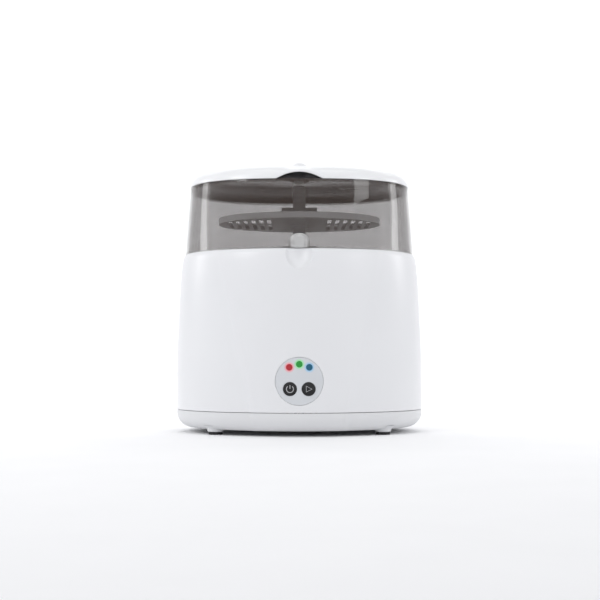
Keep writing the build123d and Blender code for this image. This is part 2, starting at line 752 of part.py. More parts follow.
with BuildPart() as steam_vent:
    with BuildSketch(Plane.XZ):
        with BuildLine():
            Polyline(
                (vent_bore, dome_top_z - lid_wall - 3.0),
                (vent_radius - 2.6, dome_top_z - lid_wall - 3.0),
                (vent_radius - 2.6, cap_top_z + 0.2),
                (vent_radius, cap_top_z + 0.2),
                (vent_radius, vent_top_z - 2.0),
                (vent_radius - 2.0, vent_top_z),
                (vent_bore, vent_top_z),
                close=True,
            )
        make_face()
    revolve(axis=Axis.Z)
save(steam_vent.part, "steam_vent")

with BuildPart() as vent_valve:
    add(posts([(0, 0)], vent_bore, vent_top_z - 9.0, vent_top_z - 1.0))
    add(posts([(0, 0)], 0.8, vent_top_z - 10.0, vent_top_z), mode=Mode.SUBTRACT)
save(vent_valve.part, "vent_valve")

arm_outer_y = hinge_y - 0.5
with BuildPart() as hinge_arm:
    add(
        block(
            -lid_knuckle_half_width,
            lid_knuckle_half_width,
            lid_front_y * -1 - 6.0,
            arm_outer_y,
            lid_bottom_z,
            hinge_z + hinge_arm_height,
        )
    )
    add(lid_core.part, mode=Mode.SUBTRACT)
    arm_half = lid_knuckle_half_width
    add(block(-arm_half, arm_half, hinge_y - 2.2, arm_outer_y, hinge_z, lid_bottom_z + 1))
    add(barrel(knuckle_radius, -lid_knuckle_half_width, lid_knuckle_half_width) - lid_core.part)
    bore = barrel(hinge_pin_radius + pivot_clearance, -hinge_half_width, hinge_half_width)
    add(bore, mode=Mode.SUBTRACT)
    arm_screw_spots = [(sx * 14.0, hinge_z + 18.0) for sx in (-1, 1)]
    add(rods(arm_screw_spots, 1.6, 100, 130), mode=Mode.SUBTRACT)
save(hinge_arm.part, "hinge_arm")

# ---- bottle basket, post and accessory tray --------------------------------------------------------
def oval(half_x, z0, z1, wall=None, half_y=None):
    """An upright elliptical slab, or a ring of the given wall."""
    half_y = half_y or half_x * depth_share
    with BuildPart() as slab:
        with BuildSketch(Plane.XY.offset(z0)):
            Ellipse(half_x, half_y)
            if wall:
                Ellipse(half_x - wall, half_y - wall, mode=Mode.SUBTRACT)
        extrude(amount=z1 - z0)
    return slab.part


basket_radius = widest - basket_inset
floor_top_z = basket_z + basket_floor_thickness
hole_spots = []
for row, count in ((28.0, 6), (52.0, 12), (96.0, 18)):
    angles = [2 * pi * (step + 0.5) / count for step in range(count)]
    hole_spots += [(row * cos(angle), row * depth_share * sin(angle)) for angle in angles]
with BuildPart() as basket_floor:
    floor_plate = oval(basket_radius, basket_z, floor_top_z)
    floor_rim = oval(basket_radius, basket_z, floor_top_z + 7.0, wall=2.2)
    add([floor_plate, floor_rim])
    add(posts([(sx * 84, sy * 40) for sx in (-1, 1) for sy in (-1, 1)], 4.0, tub_floor_z, basket_z + 0.5))
    cuts = [
        posts(hole_spots, steam_hole_radius, basket_z - 1, floor_top_z + 1),
        block(-5.0, 5.0, -4.0, 4.0, basket_z - 1, floor_top_z + 1),
    ]
    add(cuts, mode=Mode.SUBTRACT)
save(basket_floor.part, "basket_floor")

with BuildPart() as bottle_pegs:
    with BuildSketch(Plane.XY.offset(floor_top_z)):
        with Locations(*bottle_spots):
            Rectangle(2 * peg_radius, peg_rib)
            Rectangle(peg_rib, 2 * peg_radius)
    extrude(amount=peg_height)
save(bottle_pegs.part, "bottle_pegs")

collar_z = tray_floor_z - fit
grip_z = post_top_z - grip_height
with BuildPart() as basket_post:
    add(block(-5.0, 5.0, -4.0, 4.0, basket_z, floor_top_z + 0.5))
    add(block(-post_width / 2, post_width / 2, -post_depth / 2, post_depth / 2, floor_top_z, grip_z))
    wide_x, wide_y = post_width / 2 + post_collar, post_depth / 2 + post_collar
    add(block(-wide_x, wide_x, -wide_y, wide_y, floor_top_z, floor_top_z + 6.0))
    add(block(-wide_x, wide_x, -wide_y, wide_y, collar_z - 4.0, collar_z))
save(basket_post.part, "basket_post")

with BuildPart() as basket_handle:
    add(block(-post_width / 2, post_width / 2, -post_depth / 2, post_depth / 2, grip_z, post_top_z))
    fillet(basket_handle.faces().sort_by(Axis.Z)[-1].edges(), radius=3.0)
    for step in range(3):
        z = grip_z + 8.0 + 5.0 * step
        for side in (-1, 1):
            y0, y1 = sorted((side * (post_depth / 2 - 0.8), side * (post_depth / 2 + 1)))
            add(block(-post_width, post_width, y0, y1, z, z + 2.0), mode=Mode.SUBTRACT)
save(basket_handle.part, "basket_handle")

tray_top_z = tray_floor_z + tray_height
hub_top_z = tray_floor_z + tray_hub_height
outer_slot = tray_half_width - tray_slot_margin
slot_offsets = [outer_slot - tray_slot_pitch * step for step in range(tray_slot_count)]
slot_xs = [side * offset for side in (-1, 1) for offset in slot_offsets]
hub_x, hub_y = tray_hub_width / 2, tray_hub_depth / 2
with BuildPart() as accessory_tray:
    raised = [
        oval(tray_half_width, tray_floor_z, tray_floor_z + tray_floor_thickness),
        oval(tray_half_width, tray_floor_z, tray_top_z, wall=tray_wall),
        block(-hub_x, hub_x, -hub_y, hub_y, tray_floor_z, hub_top_z),
    ]
    add(raised)
    with BuildSketch(Plane.XY.offset(tray_floor_z - 1)):
        for x in slot_xs:
            half_chord = max(0.35, (1 - (abs(x) / tray_half_width) ** 2) ** 0.5)
            reach = tray_slot_share * tray_half_width * depth_share * sin(half_chord)
            for side in (-1, 1):
                with Locations((x, side * (reach / 2 + 3.0))):
                    SlotOverall(reach, tray_slot_width, rotation=90)
    extrude(amount=tray_floor_thickness + 2, mode=Mode.SUBTRACT)
    post_x, post_y = post_width / 2 + fit, post_depth / 2 + fit
    window_x, window_z = post_x + 6.0, tray_floor_z + tray_floor_thickness
    cuts = [
        block(-post_x, post_x, -post_y, post_y, tray_floor_z - 1, hub_top_z + 1),
        block(-window_x, window_x, -hub_y - 1, hub_y + 1, window_z, hub_top_z - 4.0),
    ]
    add(cuts, mode=Mode.SUBTRACT)
save(accessory_tray.part, "accessory_tray")
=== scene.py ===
import json
import math

import bmesh
import bpy
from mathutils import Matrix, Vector


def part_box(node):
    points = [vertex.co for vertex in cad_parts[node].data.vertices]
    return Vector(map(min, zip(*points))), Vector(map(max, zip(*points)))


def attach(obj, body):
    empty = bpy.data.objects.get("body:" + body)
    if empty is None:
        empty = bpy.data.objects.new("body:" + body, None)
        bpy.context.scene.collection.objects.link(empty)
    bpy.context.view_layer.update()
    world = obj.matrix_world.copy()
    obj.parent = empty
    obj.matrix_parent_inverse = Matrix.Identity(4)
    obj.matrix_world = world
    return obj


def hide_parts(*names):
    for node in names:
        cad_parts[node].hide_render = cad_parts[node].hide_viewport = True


# Bottle sterilizer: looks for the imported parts. Metres, +Z up, the control panel faces -Y.
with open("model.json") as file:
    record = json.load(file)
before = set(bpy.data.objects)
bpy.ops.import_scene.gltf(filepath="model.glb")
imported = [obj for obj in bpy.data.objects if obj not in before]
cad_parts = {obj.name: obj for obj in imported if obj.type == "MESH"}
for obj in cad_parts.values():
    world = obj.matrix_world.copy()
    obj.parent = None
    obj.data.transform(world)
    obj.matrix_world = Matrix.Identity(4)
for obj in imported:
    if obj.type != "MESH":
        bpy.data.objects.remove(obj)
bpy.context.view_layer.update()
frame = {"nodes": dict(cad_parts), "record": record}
MM = 0.001


def material_slot_of(node):
    """The record's material slot for a node."""
    return next(entry["material_slot"] for entry in frame["record"]["subparts"] if entry["node"] == node)


# ---- shader helpers ------------------------------------------------------------------------------
class Value:
    """A number socket that can be used in plain arithmetic."""

    def __init__(self, finish, socket):
        self.finish, self.socket = finish, socket

    def math(self, operation, a, b):
        node = self.finish.node("ShaderNodeMath", {"operation": operation}, {0: a, 1: b})
        return Value(self.finish, node.outputs[0])

    def __add__(self, other):
        return self.math("ADD", self, other)

    def __radd__(self, other):
        return self.math("ADD", other, self)

    def __sub__(self, other):
        return self.math("SUBTRACT", self, other)

    def __rsub__(self, other):
        return self.math("SUBTRACT", other, self)

    def __mul__(self, other):
        return self.math("MULTIPLY", self, other)

    def __rmul__(self, other):
        return self.math("MULTIPLY", other, self)

    def __pow__(self, other):
        return self.math("POWER", self, other)


class Finish:
    """A material and the few nodes that its recipe adds to the main shader."""

    def __init__(self, name, color, roughness, **constants):
        self.material = bpy.data.materials.new(name)
        self.material.use_nodes = True
        self.tree = self.material.node_tree
        self.shader = self.tree.nodes["Principled BSDF"]
        self.shader.inputs["Base Color"].default_value = (*color, 1)
        self.shader.inputs["Roughness"].default_value = roughness
        for socket, value in constants.items():
            self.shader.inputs[socket.replace("_", " ")].default_value = value
        coordinates = self.node("ShaderNodeTexCoord")
        self.place = coordinates.outputs["Object"]
        self.color = color

    def node(self, kind, settings=None, values=None):
        """Adds one node, with its settings and then its sockets' values or links."""
        node = self.tree.nodes.new(kind)
        for name, setting in (settings or {}).items():
            setattr(node, name, setting)
        for key, value in (values or {}).items():
            if isinstance(value, Value):
                value = value.socket
            if isinstance(value, bpy.types.NodeSocket):
                self.tree.links.new(value, node.inputs[key])
            else:
                node.inputs[key].default_value = value
        return node

    def noise(self, scale, detail=4.0, stretch=(1, 1, 1)):
        """Soft random variation, with features of about 1/scale metres."""
        place = self.node("ShaderNodeVectorMath", {"operation": "MULTIPLY"}, {0: self.place, 1: stretch})
        values = {"Vector": place.outputs[0], "Scale": scale, "Detail": detail}
        return Value(self, self.node("ShaderNodeTexNoise", None, values).outputs[0])

    def feed(self, socket, value):
        self.tree.links.new(value.socket if isinstance(value, Value) else value, self.shader.inputs[socket])

    def blend(self, mask, first, second):
        """Mixes two colours, or two colour sockets, by a mask."""
        return self.node("ShaderNodeMix", {"data_type": "RGBA"}, {0: mask, 6: first, 7: second}).outputs[2]

    def tint(self, mask, other):
        """Varies the base colour towards another colour by a mask."""
        self.feed("Base Color", self.blend(mask, (*self.color, 1), (*other, 1)))

    def uneven_gloss(self, roughness):
        """Lets the gloss of a moulding wander a little."""
        self.feed("Roughness", roughness * 0.9 + self.noise(60, 4) * (roughness * 0.25))

    def bump(self, height, distance):
        values = {"Height": height, "Distance": distance, "Strength": 1.0}
        self.feed("Normal", self.node("ShaderNodeBump", None, values).outputs[0])


# ---- finishes ------------------------------------------------------------------------------------
grain_scale = 1500  # of the spark-eroded grain on moulded plastic


def moulded(name, color, roughness, grain=0.00002, shade=0.97, **constants):
    """Moulded plastic: a fine spark-eroded grain, slightly uneven gloss and a trace of colour variation."""
    finish = Finish(name, color, roughness, **constants)
    cloudy = finish.noise(14, 3)
    finish.tint(cloudy, tuple(channel * shade for channel in color))
    finish.uneven_gloss(roughness)
    finish.bump(finish.noise(grain_scale, 2), grain)
    return finish.material


def see_through(name, color, alpha, roughness=0.04):
    """Clear or smoked plastic: a tinted, polished wall with faint flow ripples, denser seen edge-on."""
    finish = Finish(name, color, roughness, Specular_IOR_Level=0.6, Coat_Weight=0.8, Coat_Roughness=0.03)
    slant = Value(finish, finish.node("ShaderNodeLayerWeight", None, {"Blend": 0.5}).outputs["Facing"])
    finish.feed("Alpha", alpha - 0.02 + finish.noise(9, 2) * 0.04 + slant**5 * (0.9 - alpha))
    finish.feed("Roughness", roughness * 0.7 + finish.noise(35, 3) * roughness * 0.6)
    finish.bump(finish.noise(25, 1), 0.00002)
    return finish.material


def brushed(name, color, roughness):
    """Steel with fine brushing along X."""
    finish = Finish(name, color, roughness, Metallic=1.0)
    lines = finish.noise(900, 3, stretch=(0.03, 1, 1))
    finish.tint(lines, tuple(channel * 0.8 for channel in color))
    finish.feed("Roughness", roughness * 0.8 + lines * (roughness * 0.5))
    finish.bump(lines, 0.00002)
    return finish.material


def rubbery(name, color, roughness=0.75):
    """Rubber or silicone with a soft, slightly dusty surface."""
    finish = Finish(name, color, roughness)
    finish.tint(finish.noise(90, 4), tuple(min(1, channel * 1.25 + 0.01) for channel in color))
    finish.feed("Roughness", roughness - 0.1 + finish.noise(300, 3) * 0.2)
    finish.bump(finish.noise(1800, 2), 0.00003)
    return finish.material


def lit(name, color, glow, strength):
    """A lit lens: a glossy, faintly mottled glow."""
    finish = Finish(name, color, 0.22, Emission_Strength=strength, Coat_Weight=0.5)
    shade = finish.noise(500, 2)
    dimmer = tuple(channel * 0.7 for channel in glow)
    finish.feed("Emission Color", finish.blend(shade, (*glow, 1), (*dimmer, 1)))
    finish.feed("Roughness", 0.18 + shade * 0.1)
    return finish.material


halo_hues = {"red_lens": (0.9, 0.05, 0.10), "green_lens": (0.03, 0.75, 0.10), "blue_lens": (0.02, 0.40, 0.75)}
halo_inside, halo_outside, halo_strength = 3.2 * MM, 6.8 * MM, 0.6


def glowing_panel(name, color, roughness):
    """The control disc's satin plastic, with a soft halo of light round each lens."""
    finish = Finish(name, color, roughness, Emission_Strength=0.18)
    surface, glow = (*color, 1), (0, 0, 0, 1)
    for lens, hue in halo_hues.items():
        low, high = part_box(lens)
        centre = Vector(((low.x + high.x) / 2, low.y, (low.z + high.z) / 2))
        reach = finish.node("ShaderNodeVectorMath", {"operation": "DISTANCE"}, {0: finish.place, 1: centre})
        limits = {0: reach.outputs["Value"], 1: halo_inside, 2: halo_outside, 3: halo_strength, 4: 0.0}
        near = finish.node("ShaderNodeMapRange", {"interpolation_type": "SMOOTHSTEP"}, limits).outputs[0]
        surface = finish.blend(near, surface, (*hue, 1))
        glow = finish.blend(near, glow, (*hue, 1))
    finish.feed("Base Color", surface)
    finish.feed("Emission Color", glow)
    finish.uneven_gloss(roughness)
    finish.bump(finish.noise(grain_scale, 2), 0.00003)
    return finish.material


finishes = {
    "white_shell": moulded("white_shell", (0.82, 0.825, 0.845), 0.36, Coat_Weight=0.15, Coat_Roughness=0.25),
    "white_base": moulded("white_base", (0.76, 0.765, 0.78), 0.45),
    "cap_white": moulded("cap_white", (0.87, 0.875, 0.89), 0.30, Coat_Weight=0.2, Coat_Roughness=0.2),
    "smoked": see_through("smoked", (0.060, 0.036, 0.026), 0.31),
    "clear_tab": see_through("clear_tab", (0.86, 0.86, 0.86), 0.42),
    "panel_grey": glowing_panel("panel_grey", (0.66, 0.68, 0.71), 0.40),
    "black_key": moulded("black_key", (0.006, 0.006, 0.007), 0.35, shade=1.3),
    "red_light": lit("red_light", (0.22, 0.01, 0.015), (0.45, 0.008, 0.02), 0.55),
    "green_light": lit("green_light", (0.01, 0.16, 0.02), (0.008, 0.26, 0.03), 0.55),
    "blue_light": lit("blue_light", (0.004, 0.06, 0.11), (0.003, 0.09, 0.16), 0.55),
    "foot_rubber": rubbery("foot_rubber", (0.012, 0.012, 0.013)),
    "seal_silicone": rubbery("seal_silicone", (0.62, 0.62, 0.63), 0.5),
    "plate_steel": brushed("plate_steel", (0.62, 0.62, 0.63), 0.28),
    "zinc_steel": brushed("zinc_steel", (0.52, 0.52, 0.53), 0.35),
    "element_steel": brushed("element_steel", (0.20, 0.18, 0.17), 0.5),
    "tub_plastic": moulded("tub_plastic", (0.70, 0.70, 0.71), 0.5),
    "basket_plastic": moulded("basket_plastic", (0.78, 0.78, 0.79), 0.42),
    "board_green": moulded("board_green", (0.02, 0.12, 0.04), 0.4, shade=0.8),
    "component_black": moulded("component_black", (0.015, 0.015, 0.016), 0.45, shade=1.4),
    "terminal_green": moulded("terminal_green", (0.03, 0.20, 0.07), 0.4),
    "led_white": moulded("led_white", (0.80, 0.80, 0.66), 0.3),
    "ceramic_fuse": moulded("ceramic_fuse", (0.75, 0.72, 0.65), 0.6),
    "wire_insulation": rubbery("wire_insulation", (0.52, 0.49, 0.44), 0.6),
    "gland_black": rubbery("gland_black", (0.02, 0.02, 0.021)),
}
# The lid window's dome under the cap: smoked plastic made darker and denser than the wall, a painted shade
# for the shadow under the white cap.
dome_painted_shade = see_through("dome_painted_shade", (0.028, 0.026, 0.030), 0.80, roughness=0.25)
key_print = moulded("key_print", (0.50, 0.50, 0.52), 0.5)

for name, part in frame["nodes"].items():
    part.data.materials.clear()
    part.data.materials.append(finishes[material_slot_of(name)])


# ---- mesh helpers --------------------------------------------------------------------------------
def add_mesh(name, points, faces, body, slot):
    """Makes one smooth mesh piece that rides on a body, with its sharp edges kept."""
    mesh = bpy.data.meshes.new(name)
    mesh.from_pydata(points, [], faces)
    mesh.update()
    piece = bpy.data.objects.new(name, mesh)
    bpy.context.scene.collection.objects.link(piece)
    mesh.materials.append(finishes[slot])
    mesh.polygons.foreach_set("use_smooth", [True] * len(mesh.polygons))
    mesh.set_sharp_from_angle(angle=math.radians(34))
    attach(piece, body)
    return piece


def ring_faces(rows, columns, closed=True):
    """Faces between rings of points, with the last ring joined to the first when closed."""
    faces = []
    for row in range(rows if closed else rows - 1):
        near, far = row * columns, (row + 1) % rows * columns
        for column in range(columns):
            side = (column + 1) % columns
            faces.append((near + column, near + side, far + side, far + column))
    return faces


def weld(piece):
    """Joins corners that fall on each other and drops the faces that this closes up."""
    form = bmesh.new()
    form.from_mesh(piece.data)
    touching = 0.001 * MM
    bmesh.ops.remove_doubles(form, verts=form.verts, dist=touching)
    bmesh.ops.dissolve_degenerate(form, edges=form.edges, dist=touching)
    form.to_mesh(piece.data)
    form.free()


def smooth_step(value):
    value = min(1.0, max(0.0, value))
    return value * value * (3 - 2 * value)


def curve_through(knots, t):
    """A smooth curve through (t, value) knots."""
    last = len(knots) - 1
    k = next((i for i in range(last) if t <= knots[i + 1][0]), last - 1)
    (t0, v0), (t1, v1) = knots[k], knots[k + 1]
    before, after = knots[max(0, k - 1)], knots[min(last, k + 2)]
    slope0 = (v1 - before[1]) / max(1e-9, t1 - before[0])
    slope1 = (after[1] - v0) / max(1e-9, after[0] - t0)
    s, span = (t - t0) / (t1 - t0), t1 - t0
    return (
        (2 * s**3 - 3 * s**2 + 1) * v0
        + (s**3 - 2 * s**2 + s) * span * slope0
        + (3 * s**2 - 2 * s**3) * v1
        + (s**3 - s**2) * span * slope1
    )


# ---- body shell ----------------------------------------------------------------------------------
shell_low, shell_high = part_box("body_shell")
half_width = shell_high.x
depth_share = shell_high.y / shell_high.x
seam_z, rim_z = shell_low.z, shell_high.z
# How far the side stands in from the widest place, in mm, by the share of the shell's height.
side_insets = [(0, 0.20), (0.18, 0.0), (0.40, 0.8), (0.61, 2.7)]
side_insets += [(0.80, 4.7), (0.915, 6.5), (0.975, 8.3), (1, 10.4)]
rim_radius = half_width - side_insets[-1][1] * MM
shell_wall = 2.5 * MM
rim_round = 1.1 * MM
disc_low, disc_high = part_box("control_disc")
disc_z = (disc_low.z + disc_high.z) / 2
disc_hole = 27.15 * MM
hole_snap = 0.42 * MM  # corners this near the disc's opening move onto its edge
hole_margin = 0.05 * MM  # faces that reach no further than this past the edge are left out
dish = {"radius": 22 * MM, "reach": 28 * MM, "depth": 5.5 * MM}
apron = {"top": 93 * MM, "bottom": 46.5 * MM, "proud": 1.6 * MM, "rim_proud": 0.5 * MM, "crease": 5.0 * MM}
apron["faded"] = 0.97 * half_width  # this far from the middle, the sides are no longer drawn in
notch_floor = 203.5 * MM  # the notch in the rim that clears the hinge
notch_spread = math.asin(35.0 * MM / rim_radius)
notch_step = 0.0006  # the angle, in radians, over which the notch's sides fall
round_above = 100 * MM  # the oval fills out above this height
lid_rise = 79 * MM


def apron_inset(x, z):
    """How far the skin beside the raised apron stands in, at a place on the front."""
    up = (z - seam_z) / (rim_z - seam_z)
    edge = apron["bottom"] + (apron["top"] - apron["bottom"]) * (z + 4 * MM) / rim_z
    proud = apron["proud"] + (apron["rim_proud"] - apron["proud"]) * up
    beside = smooth_step((abs(x) - edge) / apron["crease"] + 0.5)
    fade = 1 - smooth_step((abs(x) - edge) / (apron["faded"] - edge))
    return proud * beside * fade


def fullness(z):
    """How full the oval is: 2 is an ellipse, as at the control disc, and more is squarer."""
    if z < rim_z:
        return 2 + 0.25 * smooth_step((z - round_above) / (rim_z - round_above))
    return 2.25 + 0.40 * smooth_step((z - rim_z) / lid_rise)


def oval_point(angle, z, radius):
    """A place on the oval outline, where the radius is measured along X."""
    power = 2 / fullness(z)
    across, along = math.cos(angle), math.sin(angle)
    x = math.copysign(abs(across) ** power, across)
    y = math.copysign(abs(along) ** power, along)
    return Vector((radius * x, radius * depth_share * y, z))


def inset_at(z):
    return curve_through(side_insets, (z - seam_z) / (rim_z - seam_z)) * MM


def dish_face(x, z):
    """The back of the finger dish, or None where the dish doesn't reach."""
    rise = (z - rim_z) / dish["reach"]
    across = dish["radius"] ** 2 * (1 - rise * rise) - x * x
    if across <= 0:
        return None
    rim_front = -rim_radius * depth_share
    return rim_front + dish["depth"] - dish["radius"] + math.sqrt(across)


def column_angles():
    """Angles round the shell, closer together at the front where the dish and the disc are."""
    angles, angle = [], -math.pi / 2
    while angle < math.pi / 2:
        angles.append(angle)
        near = abs(angle + math.pi / 2)
        angle += math.radians(0.27) if near < math.radians(14) else math.radians(1.0)
    notch_side = math.pi / 2 - notch_spread
    angles = sorted(angles + [notch_side, notch_side - notch_step])
    mirrored = [-math.pi - a for a in reversed(angles[1:])]
    return mirrored + angles


def in_notch(angle, z):
    from_back = min(abs(angle - math.pi / 2), abs(angle + 1.5 * math.pi))
    return from_back < notch_spread + notch_step / 2 and z > notch_floor


def shell_rows(row_count):
    """Heights and insets up the outside, over the rounded rim and down the inside."""
    heights = [seam_z + row / row_count * (rim_z - seam_z - rim_round) for row in range(row_count + 1)]
    outer = [(z, inset_at(z)) for z in heights]
    rim_inset = outer[-1][1]
    turns = [math.pi / 2 * step / 5 for step in range(1, 6)]
    rows = [(z, inset, False) for z, inset in outer]
    for turn in turns:
        z = rim_z - rim_round + rim_round * math.sin(turn)
        rows.append((z, rim_inset + rim_round * (1 - math.cos(turn)), False))
    rows.append((rim_z, rim_inset + shell_wall, True))
    return rows + [(z, inset + shell_wall, True) for z, inset in reversed(outer)]


def shell_corner(angle, z, inset, inside):
    """One corner of the skin, with the notch, the apron, the disc's opening and the dish worked in."""
    wall = shell_wall if inside else 0
    if in_notch(angle, z):
        z, inset = notch_floor, inset_at(notch_floor) + wall
    point = oval_point(angle, z, half_width - inset)
    if point.y >= 0:
        return point
    point = oval_point(angle, z, half_width - (inset + apron_inset(point.x, z)))
    gap = Vector((point.x, 0, z - disc_z))
    if abs(gap.length - disc_hole) < hole_snap:
        gap *= disc_hole / gap.length
        point.x, point.z = gap.x, disc_z + gap.z
    back = dish_face(point.x, min(point.z, rim_z))
    if back is not None:
        point.y = max(point.y, back + wall)
    return point


def build_body_shell():
    """The white skin, with the disc's opening cut through and its edge closed."""
    angles = column_angles()
    row_count = 230
    rows = shell_rows(row_count)
    points = [shell_corner(angle, z, inset, inside) for z, inset, inside in rows for angle in angles]
    from_disc = [math.hypot(point.x, point.z - disc_z) if point.y < 0 else half_width for point in points]
    columns, total = len(angles), len(rows)
    faces, holes = [], []
    for number, face in enumerate(ring_faces(total, columns)):
        if max(from_disc[corner] for corner in face) < disc_hole + hole_margin:
            holes.append(divmod(number, columns))
        else:
            faces.append(face)
    uses = {}
    for row, column in holes:
        side = (column + 1) % columns
        corners = [(row, column), (row, side), (row + 1, side), (row + 1, column)]
        for a, b in zip(corners, corners[1:] + corners[:1]):
            uses.setdefault(frozenset((a, b)), []).append((a, b))
    for edges in uses.values():
        (row_a, column_a), (row_b, column_b) = edges[0]
        if len(edges) == 1 and max(row_a, row_b) <= row_count:
            inner_a, inner_b = total - 1 - row_a, total - 1 - row_b
            outside = (row_a * columns + column_a, row_b * columns + column_b)
            faces.append((*outside, inner_b * columns + column_b, inner_a * columns + column_a))
    shell = add_mesh("body_skin", points, faces, "housing", "white_shell")
    weld(shell)
    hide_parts("body_shell")


build_body_shell()


# ---- lid cap -------------------------------------------------------------------------------------
def revolve(name, profile, body, slot, warp):
    """Carries a closed profile of (radius, z) round the oval, then warps each corner."""
    turns = 360
    angles = [2 * math.pi * step / turns for step in range(turns)]
    points = [warp(oval_point(angle, z, radius)) for radius, z in profile for angle in angles]
    return add_mesh(name, points, ring_faces(len(profile), turns), body, slot)


def arc_points(start, through, end, count):
    """Points on the circle through three (radius, z) places."""
    (ax, ay), (bx, by), (cx, cy) = start, through, end
    d = 2 * (ax * (by - cy) + bx * (cy - ay) + cx * (ay - by))
    ux = ((ax**2 + ay**2) * (by - cy) + (bx**2 + by**2) * (cy - ay) + (cx**2 + cy**2) * (ay - by)) / d
    uy = ((ax**2 + ay**2) * (cx - bx) + (bx**2 + by**2) * (ax - cx) + (cx**2 + cy**2) * (bx - ax)) / d
    radius = math.hypot(ax - ux, ay - uy)
    first, last = math.atan2(ay - uy, ax - ux), math.atan2(cy - uy, cx - ux)
    turn = math.remainder(last - first, 2 * math.pi)
    angles = [first + turn * step / count for step in range(count + 1)]
    return [(ux + radius * math.cos(angle), uy + radius * math.sin(angle)) for angle in angles]


def build_lid_cap():
    """The white crown of the lid: a shallow dome with a softly rounded edge and a notch at the front."""
    low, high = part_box("lid_cap")
    edge, foot_z, top_z = high.x, low.z, high.z
    vent_hole, vent_land = 8.7 * MM, 30 * MM
    notch_half, notch_rise, notch_blend = 26 * MM, 7.6 * MM, 6 * MM
    shoulder = [(0.1, 2.0), (4.6, 10.8), (19, 15.4)]  # inset and rise, in mm, of three places on the roll
    side = [(edge - 0.5 * MM, foot_z), (edge, foot_z + 0.6 * MM)]
    side += arc_points(*[(edge - inset * MM, foot_z + rise * MM) for inset, rise in shoulder], 14)
    crown = [(edge - 32 * MM, top_z - 2.2 * MM), (edge - 56 * MM, top_z - 0.9 * MM)]
    crown += [(vent_land, top_z - 0.1 * MM), (vent_hole, top_z), (vent_hole, top_z - 2.2 * MM)]
    inner = [(vent_land, top_z - 2.3 * MM), (edge - 58 * MM, top_z - 3.1 * MM)]
    inner += [(edge - 34 * MM, top_z - 4.4 * MM), (edge - 22 * MM, foot_z + 12.8 * MM)]
    inner += [(edge - 8.5 * MM, foot_z + 8.6 * MM), (edge - 3 * MM, foot_z)]

    def lift_front(point):
        across = abs(point.x) / notch_half
        if point.y < 0 and across < 1 and point.z < foot_z + notch_rise + notch_blend:
            arch = notch_rise * (1 - across * across)
            share = 1 - smooth_step((point.z - foot_z) / (notch_rise + notch_blend))
            point.z += arch * share
        return point

    cap = revolve("cap_crown", side + crown + inner, "lid", "cap_white", lift_front)
    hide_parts("lid_cap")


build_lid_cap()


# ---- lid window and tab --------------------------------------------------------------------------
window_insets = [(0, 0.0), (0.5, 3.2), (1, 7.0)]  # in mm, by the share of the window's height
lid_gap, lid_wall, lid_step = 0.8 * MM, 2.8 * MM, 3.4 * MM
lid_radius = 137.9 * MM
pocket = {"half": 17 * MM, "top": 34 * MM, "depth": 6.0 * MM, "lean": 3.5 * MM, "roof": 9 * MM}


def pocket_face(x, rise):
    """The pocket's outer face, where rise is the share of its height."""
    half = pocket["half"]
    front = -lid_radius * depth_share
    back = front + pocket["depth"] + pocket["lean"] * rise - half + math.sqrt(half**2 - x**2)
    return back - (1 - math.sqrt(1 - rise * rise)) * pocket["roof"]


def build_lid_window():
    """The smoked wall of the lid, one moulded skin with a finger pocket pressed into its front."""
    foot_z = rim_z + lid_gap
    top_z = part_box("lid_cap")[0].z
    shares = [row / 60 for row in range(61)]
    tall = top_z - foot_z
    outer = [(foot_z + t * tall, lid_radius - curve_through(window_insets, t) * MM) for t in shares]
    dome_places = [(127.7, 0.0), (117.0, 8.5), (95.0, 12.9)]  # radius and rise, in mm
    dome = arc_points(*[(radius * MM, top_z + rise * MM) for radius, rise in dome_places], 10)
    hole_radius, hole_top, hole_under = 12.0 * MM, top_z + 15.6 * MM, top_z + 12.9 * MM
    rows = [(z, radius, 0.0) for z, radius in outer]
    rows += [(top_z, outer[-1][1] - lid_step, 0.0)]
    rows += [(z, radius, 0.0) for radius, z in dome[1:]]
    rows += [(hole_top, hole_radius, 0.0), (hole_under, hole_radius, lid_wall)]
    rows += [(z - lid_wall, radius - 1.2 * MM, lid_wall) for radius, z in reversed(dome)]
    rows += [(z, radius - lid_wall, lid_wall) for z, radius in reversed(outer)]
    angles = column_angles()
    points = []
    for z, radius, wall in rows:
        for angle in angles:
            point = oval_point(angle, z, radius)
            rise = (z - foot_z) / pocket["top"]
            if point.y < 0 and rise < 1 and z <= top_z:
                if abs(point.x) < pocket["half"] * math.sqrt(max(0.0, 1 - rise * rise)):
                    point.y = max(point.y, pocket_face(point.x, rise) + wall * 0.7)
            points.append(point)
    skin = add_mesh("lid_window", points, ring_faces(len(rows), len(angles)), "lid", "smoked")
    # The dome above the wall takes the darker smoked finish, painted shade for the shadow under the cap.
    skin.data.materials.append(dome_painted_shade)
    for face in skin.data.polygons:
        face.material_index = 1 if face.center.z > top_z else 0
    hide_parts("lid_shell")


build_lid_window()


